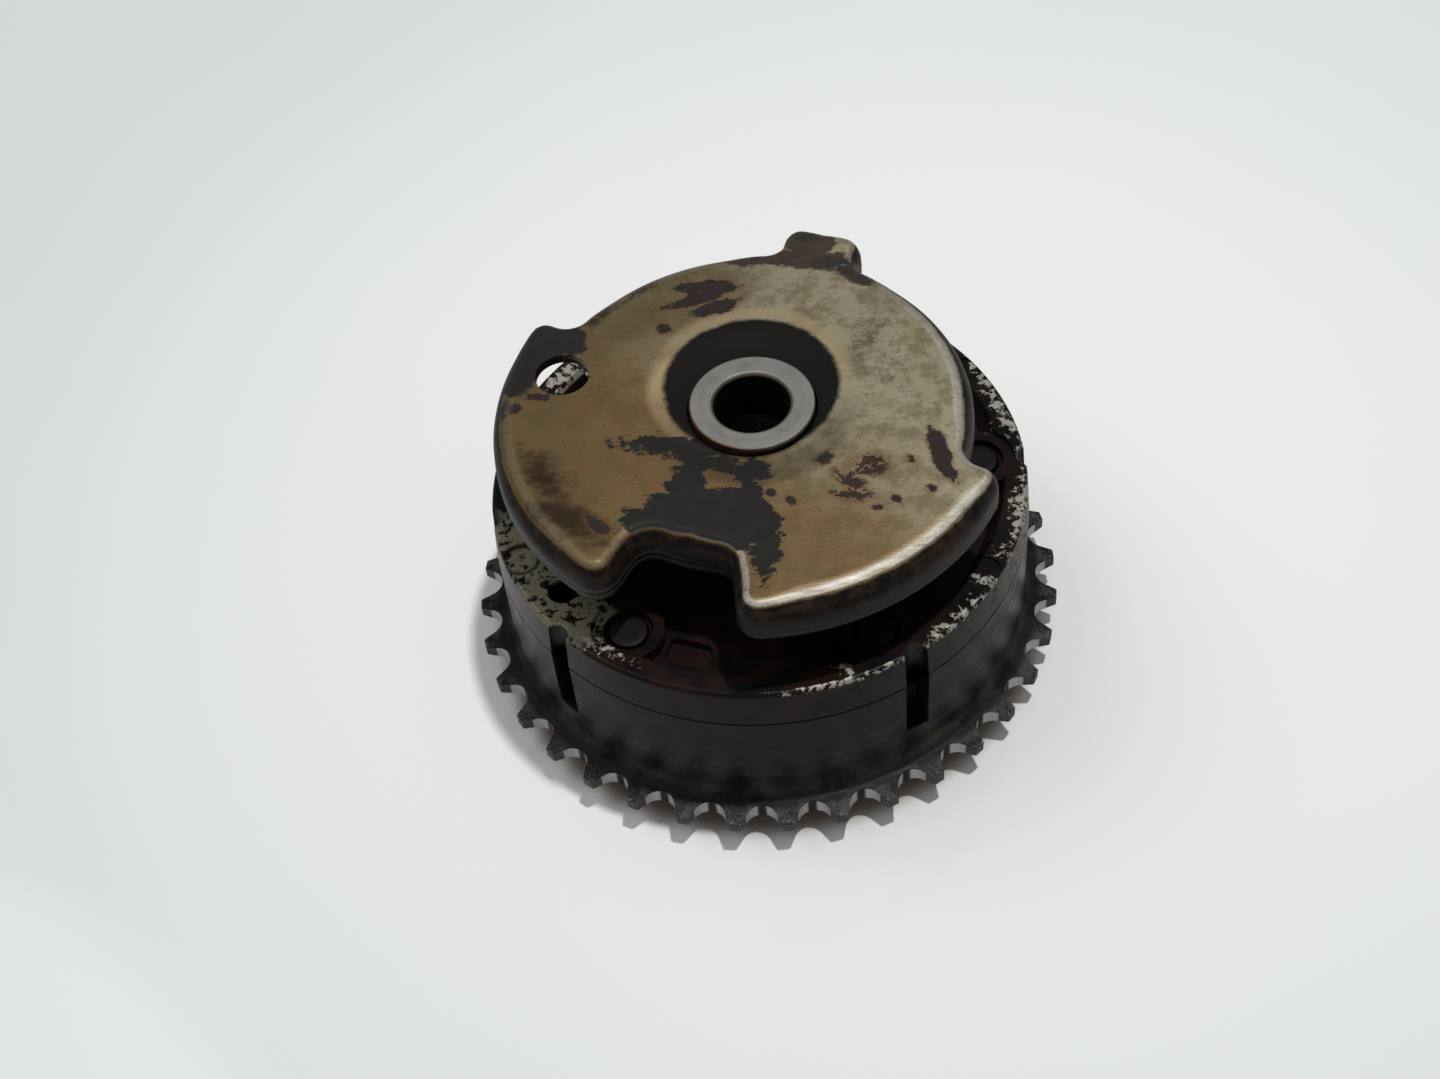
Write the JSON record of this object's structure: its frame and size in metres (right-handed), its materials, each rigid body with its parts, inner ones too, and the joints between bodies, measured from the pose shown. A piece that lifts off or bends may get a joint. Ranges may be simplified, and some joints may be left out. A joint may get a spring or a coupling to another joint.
{
  "type": "cam phaser",
  "caption": "Vane-type camshaft phaser: chain sprocket and stator in one, cast front cover, inner rotor with vanes and locking pin, and a drawn sheet trigger wheel on a hub sleeve.",
  "frame": {"origin": "on the axis of rotation, in the plane of the rear collar's face that the unit stands on", "axes": "+Z along the axis of rotation, from the camshaft side towards the trigger wheel; +X to the right of the picture, +Y away from its camera"},
  "size_m": [0.0934, 0.0934, 0.0487],
  "materials": {
    "stator_steel": "dark sintered steel, machined outside, oil-darkened",
    "cover_casting": "as-cast, oil-varnished, bare metal at the chipped edges",
    "rear_cover_steel": "turned, oil-darkened",
    "rotor_steel": "sintered steel, ground faces",
    "vane_steel": "ground",
    "spring_steel": "drawn spring steel",
    "seal_polymer": "moulded",
    "pin_steel": "hardened and ground",
    "screw_steel": "dark phosphated, oily",
    "hub_steel": "bright, fine turned",
    "wheel_sheet": "drawn sheet steel, varnish-stained"
  },
  "bodies": {
    "housing": {"stator_sprocket": "stator_steel", "front_cover": "cover_casting", "rear_cover": "rear_cover_steel", "cover_dowel": "screw_steel", "locking_pin_seat": "pin_steel", "cover_screw_1": "screw_steel", "cover_screw_2": "screw_steel", "cover_screw_3": "screw_steel", "cover_screw_4": "screw_steel", "cover_screw_5": "screw_steel"},
    "rotor": {"rotor": "rotor_steel", "lobe_seal": "seal_polymer", "lobe_seal_spring": "spring_steel", "locking_spring": "spring_steel", "hub_sleeve": "hub_steel", "trigger_wheel": "wheel_sheet", "vane_1": "vane_steel", "vane_2": "vane_steel", "vane_3": "vane_steel", "vane_4": "vane_steel", "vane_spring_1": "spring_steel", "vane_spring_2": "spring_steel", "vane_spring_3": "spring_steel", "vane_spring_4": "spring_steel"},
    "locking_pin": {"locking_pin": "pin_steel"}
  },
  "joints": [
    {"name": "rotor_phase", "type": "hinge", "parent": "housing", "child": "rotor", "pos_m": [0, 0, 0], "axis": [0, 0, 1], "range_deg": [-30, 0]},
    {"name": "locking_pin_slide", "type": "slide", "parent": "rotor", "child": "locking_pin", "axis": [0, 0, 1], "range_m": [0, 0.002], "stiffness_N_per_m": 600, "deforming": ["locking_spring"]}
  ]
}
